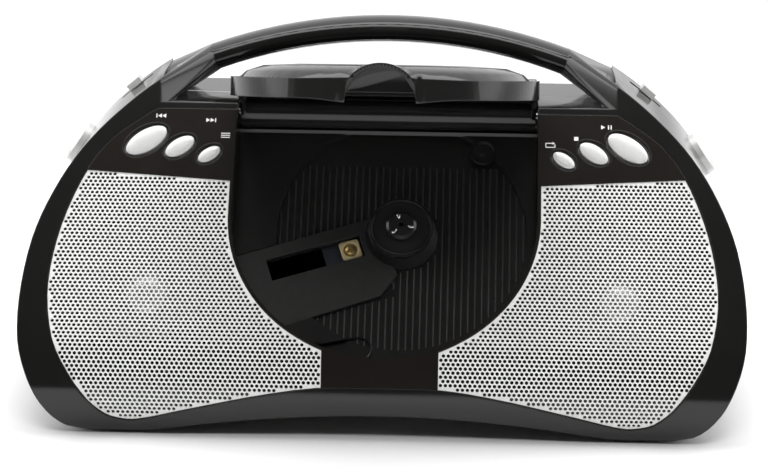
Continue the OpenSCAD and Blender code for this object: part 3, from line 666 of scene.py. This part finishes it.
def symbol(x, l, shapes):
    """A raised mesh for each shape of a symbol that stands at (x, l)."""
    for shape in shapes:
        yield loft("ink", [[on_board(x + u, l + v, n) for u, v in shape] for n in INK])


SYMBOLS = [
    (-110.2, 119.6, [bar(-2.6, 0, 0.5, 2.2), arrow(-1.1, 0, 2.3, -1),
                     arrow(1.0, 0, 2.3, -1)]),
    (-86.5, 117.6, [arrow(-1.0, 0, 2.3, 1), arrow(1.1, 0, 2.3, 1),
                    bar(2.6, 0, 0.5, 2.2)]),
    (-78.6, 109.4, [bar(0, 1.1, 4.4, 0.5), bar(0, 0, 4.4, 0.5), bar(0, -1.1, 4.4, 0.5)]),
    (79.5, 107.0, [bar(-0.6, 1.1, 3.6, 0.45), bar(0, -1.1, 4.8, 0.45),
                   bar(-2.2, 0, 0.45, 2.2), bar(2.2, -0.3, 0.45, 1.6),
                   arrow(1.6, 1.1, 1.5, 1)]),
    (92.0, 110.8, [bar(0, 0, 2.1, 2.1)]),
    (107.0, 117.3, [arrow(-1.9, 0, 2.4, 1), bar(0.7, 0, 0.6, 2.3), bar(2.0, 0, 0.6, 2.3)]),
]
marks = [mesh for x, l, shapes in SYMBOLS for mesh in symbol(x, l, shapes)]
keep("printed_marks", joined("printed_marks", marks), "cabinet", white_print,
     "silver_plastic")

# %% [markdown]
# ## Inside the well
# The floor under the disc carries fine upright ribs. Geometry Nodes lay a line for each
# rib, cut it off where the recess ends and where the hub, the raised cover and the
# door's hinge lie, and sweep a small bar along what is left.

# %% The tree that lays the ribs
SPINDLE = (8, 68.5)
FLOOR = -25
RIB_START, RIB_STEPS = -61.5 * MM, 124
COVER_RIGHT, COVER_LOW, COVER_HIGH = -12 * MM, -29 * MM, 12.7 * MM
HINGE_SIDE = 38 * MM  # the open door reaches down past here
ribs, given = new_tree(
    "Floor ribs", Pitch=("Float", 3.3 * MM), Count=("Int", 37),
    Reach=("Float", 60.9 * MM), Hub=("Float", 18.6 * MM), Cover_Angle=("Float", 0.314),
    Rib=("Float", 0.42 * MM), Finish=("Material", None))
first = maths(ribs, "MULTIPLY", given["Pitch"],
              maths(ribs, "MULTIPLY", maths(ribs, "SUBTRACT", given["Count"], 1.0), -0.5))
starts = add(ribs, "GeometryNodeMeshLine", {
    "Count": given["Count"],
    "Start Location": add(ribs, "ShaderNodeCombineXYZ", {"X": first}).outputs[0],
    "Offset": add(ribs, "ShaderNodeCombineXYZ", {"X": given["Pitch"]}).outputs[0]})
one_rib = add(ribs, "GeometryNodeMeshLine", {
    "Count": RIB_STEPS, "Start Location": (0, RIB_START, 0), "Offset": (0, MM, 0)})
laid = add(ribs, "GeometryNodeInstanceOnPoints",
           {"Points": starts.outputs[0], "Instance": one_rib.outputs[0]})
real = add(ribs, "GeometryNodeRealizeInstances", {"Geometry": laid.outputs[0]})
place = add(ribs, "GeometryNodeInputPosition").outputs[0]
radius = add(ribs, "ShaderNodeVectorMath", {0: place}, operation="LENGTH").outputs["Value"]
spun = add(ribs, "ShaderNodeVectorRotate",
           {"Vector": place, "Angle": maths(ribs, "MULTIPLY", given["Cover Angle"], -1.0)},
           rotation_type="Z_AXIS")
turned = add(ribs, "ShaderNodeSeparateXYZ", {0: spun.outputs[0]})
outside = maths(ribs, "GREATER_THAN", radius, given["Reach"])
on_hub = maths(ribs, "LESS_THAN", radius, given["Hub"])
left_part = maths(ribs, "LESS_THAN", turned.outputs["X"], COVER_RIGHT)
low_part = maths(ribs, "GREATER_THAN", turned.outputs["Y"], COVER_LOW)
high_part = maths(ribs, "LESS_THAN", turned.outputs["Y"], COVER_HIGH)
on_cover = maths(ribs, "MULTIPLY", left_part,
                 maths(ribs, "MULTIPLY", low_part, high_part))
depth = add(ribs, "ShaderNodeSeparateXYZ", {0: place}).outputs["Y"]
at_hinge = maths(ribs, "GREATER_THAN", depth, HINGE_SIDE)
gone = maths(ribs, "MAXIMUM", maths(ribs, "MAXIMUM", outside, at_hinge),
             maths(ribs, "MAXIMUM", on_hub, on_cover))
kept = add(ribs, "GeometryNodeDeleteGeometry",
           {"Geometry": real.outputs[0], "Selection": gone}, domain="POINT")
lines = add(ribs, "GeometryNodeMeshToCurve", {"Mesh": kept.outputs[0]})
section = add(ribs, "GeometryNodeCurvePrimitiveCircle",
              {"Resolution": 4, "Radius": given["Rib"]})
swept = add(ribs, "GeometryNodeCurveToMesh",
            {"Curve": lines.outputs[0], "Profile Curve": section.outputs[0],
             "Fill Caps": True})
close_tree(ribs, swept.outputs[0], given["Finish"])
print("the rib tree has", len(ribs.nodes), "nodes")

# %% Lay the ribs on the floor of the well
stand = work(bpy.data.meshes.new("rib_start"))
# The ribs' finish is the lighter black, a painted highlight along each rib.
run(stand, ribs, Finish=rib_black)
mesh = applied(stand, "floor_ribs")
mesh.transform(BOARD @ Matrix.Translation((SPINDLE[0] * MM, SPINDLE[1] * MM, FLOOR * MM)))
keep("well_floor_ribs", mesh, "cabinet", rib_black, "satin_black")

# %% [markdown]
# A round moulded boss stands on the ledge, clear of the open door, and a rolled lip
# runs round the finger recess at the edge of the disc.

# %% The boss and the recess lip
BOSS = (47, 113)
BOSS_PROFILE = [(6.6, -22.1), (6.6, -20.9), (6.225, -20.3), (5.775, -20.3), (5.4, -20.9),
                (5.175, -21.3), (1.65, -21.3), (1.35, -20.8), (0.225, -20.7)]
RECESS, RECESS_LENGTH, RECESS_TURN = (-32, 3), 21, math.radians(12)
DISC_EDGE, LEDGE = 61.6, 3


def recess_ring(radius, n, count=24):
    """The capsule outline of the recess at height n; it steps down onto the floor."""
    ring = []
    for i in range(2 * count):
        t = math.pi * (i + 0.5) / count
        u = radius * math.cos(t) + (RECESS_LENGTH if math.cos(t) > 0 else 0)
        v = radius * math.sin(t)
        x = RECESS[0] + u * math.cos(RECESS_TURN) - v * math.sin(RECESS_TURN)
        l = RECESS[1] + u * math.sin(RECESS_TURN) + v * math.cos(RECESS_TURN)
        over_disc = math.hypot(x - SPINDLE[0], l - SPINDLE[1]) < DISC_EDGE
        ring.append(on_board(x, l, n - LEDGE if over_disc else n))
    return ring


keep("well_boss", loft("well_boss", [oval_ring(*BOSS, n, r, r) for r, n in BOSS_PROFILE]),
     "cabinet", well_black, "satin_black")
keep("recess_lip", bead("recess_lip", recess_ring, 6.75, -21.75, 0.65, 0.65), "cabinet",
     gloss_black, "satin_black")

# %% [markdown]
# The turntable has a polished rim, and three bright claws on the hub hold the disc. A
# gold frame holds the lens, and a thin strip of brass runs along the slot beside the
# pickup. All of them follow the turned mechanism.

# %% The rim and the claws of the turntable
SLED = math.radians(18)


def on_sled(u, v, n):
    """A place in the mechanism: u along the pickup's path, v across it."""
    return on_board(SPINDLE[0] + u * math.cos(SLED) - v * math.sin(SLED),
                    SPINDLE[1] + u * math.sin(SLED) + v * math.cos(SLED), n)


def round_ring(u, radius, n, count=32):
    """A circle about a place on the pickup's path."""
    return [on_sled(u + radius * math.cos(2 * math.pi * i / count),
                    radius * math.sin(2 * math.pi * i / count), n) for i in range(count)]


CLAW_REACH, CLAW_LONG, CLAW_WIDE = 4.9, 1.5, 0.8
# Height and share of the full size, from the foot of a claw to its tip.
CLAW_STEPS = [(-11.3, 1.1), (-11.0, 1.0), (-10.75, 0.7), (-10.65, 0.2)]


def claw_ring(a, n, size):
    """An oval across the hub in the direction a, one step of a claw."""
    ring = []
    for i in range(16):
        t = math.pi * i / 8
        u, v = size * CLAW_LONG * math.cos(t), size * CLAW_WIDE * math.sin(t)
        ring.append(on_sled((CLAW_REACH + u) * math.cos(a) - v * math.sin(a),
                            (CLAW_REACH + u) * math.sin(a) + v * math.cos(a), n))
    return ring


keep("turntable_rim", bead("turntable_rim", lambda out, n: round_ring(0, out, n, 64),
                           14.3, -14.25, 0.55, 0.55), "disc_drive", gloss_black,
     "black_acetal")
claws = [loft("claw", [claw_ring(math.radians(turn), n, size) for n, size in CLAW_STEPS])
         for turn in (90, 210, 330)]
keep("hub_claws", joined("hub_claws", claws), "disc_drive", chrome, "bright_steel")

# %% The frame of the lens and the brass strip
LENS = -26  # where the lens rests on the pickup's path


def square_ring(half, n, count=32):
    """A square with cut corners about the lens."""
    ring = []
    for i in range(count):
        t = 2 * math.pi * i / count
        reach = min(half / max(abs(math.cos(t)), 1e-6), half / max(abs(math.sin(t)), 1e-6),
                    half * 1.3)
        ring.append(on_sled(LENS + reach * math.cos(t), reach * math.sin(t), n))
    return ring


lens_rings = [square_ring(4.9, -24.85), square_ring(4.9, -24.4), square_ring(4.6, -24.25),
              round_ring(LENS, 3.9, -24.25), round_ring(LENS, 3.5, -24.5),
              round_ring(LENS, 3.5, -24.85)]
keep("lens_frame", loft("lens_frame", lens_rings, close=True), "pickup", gold,
     "lens_glass")
STRIP = [(-5.7, -27), (-5.25, -27), (-5.25, -25.4), (-5.7, -25.2)]
strip = [[on_sled(u, v, n) for v, n in STRIP] for u in (-66, -55, -44, -33)]
keep("slot_strip", loft("slot_strip", strip), "cabinet", brass, "bright_steel")

# %% [markdown]
# ## Table, light and camera
# The object stands on a pale table. Gloss black is only seen by what it mirrors,
# so a broad soft box overhead draws the top of the arch, and one at each side draws
# its flank, while the face looks into the darker room before it. The light in front is
# there for the grilles, and it is hidden from mirrors so that the gloss rim shows no
# patch of it.

# %% The table
bm = bmesh.new()
bmesh.ops.create_grid(bm, x_segments=2, y_segments=2, size=5)
floor_mesh = bpy.data.meshes.new("table_top")
bm.to_mesh(floor_mesh)
bm.free()
table_top = bpy.data.objects.new("table_top", floor_mesh)
bpy.context.scene.collection.objects.link(table_top)
floor_mesh.materials.append(finish("pale_table", (0.9, 0.9, 0.9), 0.6, mottle=0.01,
                                   grain=40, edge=0.1))
print("table in place")


# %% Soft boxes
def soft_box(name, place, target, size, power):
    """An area light that looks from place at target."""
    lamp = bpy.data.lights.new(name, "AREA")
    lamp.shape, lamp.size, lamp.size_y = "RECTANGLE", size[0], size[1]
    lamp.energy = power
    thing = bpy.data.objects.new(name, lamp)
    bpy.context.scene.collection.objects.link(thing)
    thing.location = place
    direction = Vector(target) - Vector(place)
    thing.rotation_euler = direction.to_track_quat("-Z", "Y").to_euler()
    return thing


soft_box("overhead", (0, 0.25, 1.4), (0, 0, 0.1), (2.2, 1.2), 20)
soft_box("left_side", (-1.3, 0.1, 0.6), (0, 0, 0.1), (1.2, 1.0), 6)
soft_box("right_side", (1.3, 0.1, 0.6), (0, 0, 0.1), (1.2, 1.0), 6)
fill = soft_box("front_fill", (0.1, -1.4, 1.9), (0, 0, 0.08), (0.9, 0.5), 20)
fill.visible_glossy = False
print("four soft boxes")

# %% [markdown]
# The room is dark towards the camera and white behind the object, so the black
# plastic stays black in front and its outline stands out.

# %% The room
world = bpy.data.worlds.new("room")
bpy.context.scene.world = world
world.use_nodes = True
sky = world.node_tree
facing = sky.nodes.new("ShaderNodeTexCoord")
axes = sky.nodes.new("ShaderNodeSeparateXYZ")
fade = sky.nodes.new("ShaderNodeValToRGB")
shift = sky.nodes.new("ShaderNodeMapRange")
shift.inputs["From Min"].default_value, shift.inputs["From Max"].default_value = -1, 1
fade.color_ramp.elements[0].position, fade.color_ramp.elements[1].position = 0.28, 0.62
fade.color_ramp.elements[0].color = (0.06, 0.06, 0.06, 1)
fade.color_ramp.elements[1].color = (1, 1, 1, 1)
sky.links.new(facing.outputs["Generated"], axes.inputs[0])
sky.links.new(axes.outputs["Y"], shift.inputs["Value"])
sky.links.new(shift.outputs["Result"], fade.inputs["Fac"])
sky.links.new(fade.outputs["Color"], sky.nodes["Background"].inputs["Color"])
sky.nodes["Background"].inputs["Strength"].default_value = 1.0
bpy.context.scene.view_settings.view_transform = "Standard"
print("room ready")

# %% The camera
ELEVATION, AZIMUTH, ROLL = math.radians(15), math.radians(1.8), math.radians(0.6)
DISTANCE = 1.2566
FOCAL_LENGTH, SENSOR = 122.8, 36
AIM_BACK, AIM_UP, AIM_DROP = 51.1, 97.1, 10.1
back = Vector((math.sin(AZIMUTH) * math.cos(ELEVATION),
               -math.cos(AZIMUTH) * math.cos(ELEVATION), math.sin(ELEVATION)))
turn = (-back).to_track_quat("-Z", "Y")
up = turn @ Vector((0, 1, 0))
lens = bpy.data.cameras.new("camera")
lens.lens, lens.sensor_width = FOCAL_LENGTH, SENSOR
camera = bpy.data.objects.new("camera", lens)
bpy.context.scene.collection.objects.link(camera)
aim = Vector((0, FRONT_Y + AIM_BACK * MM, AIM_UP * MM)) - up * AIM_DROP * MM
camera.location = aim + back * DISTANCE
camera.rotation_mode = "QUATERNION"
camera.rotation_quaternion = turn @ Matrix.Rotation(ROLL, 3, "Z").to_quaternion()
bpy.context.scene.camera = camera
print("camera at", [round(c, 3) for c in camera.location])

# %% Remove the working bend line
bpy.data.objects.remove(bend_guide)
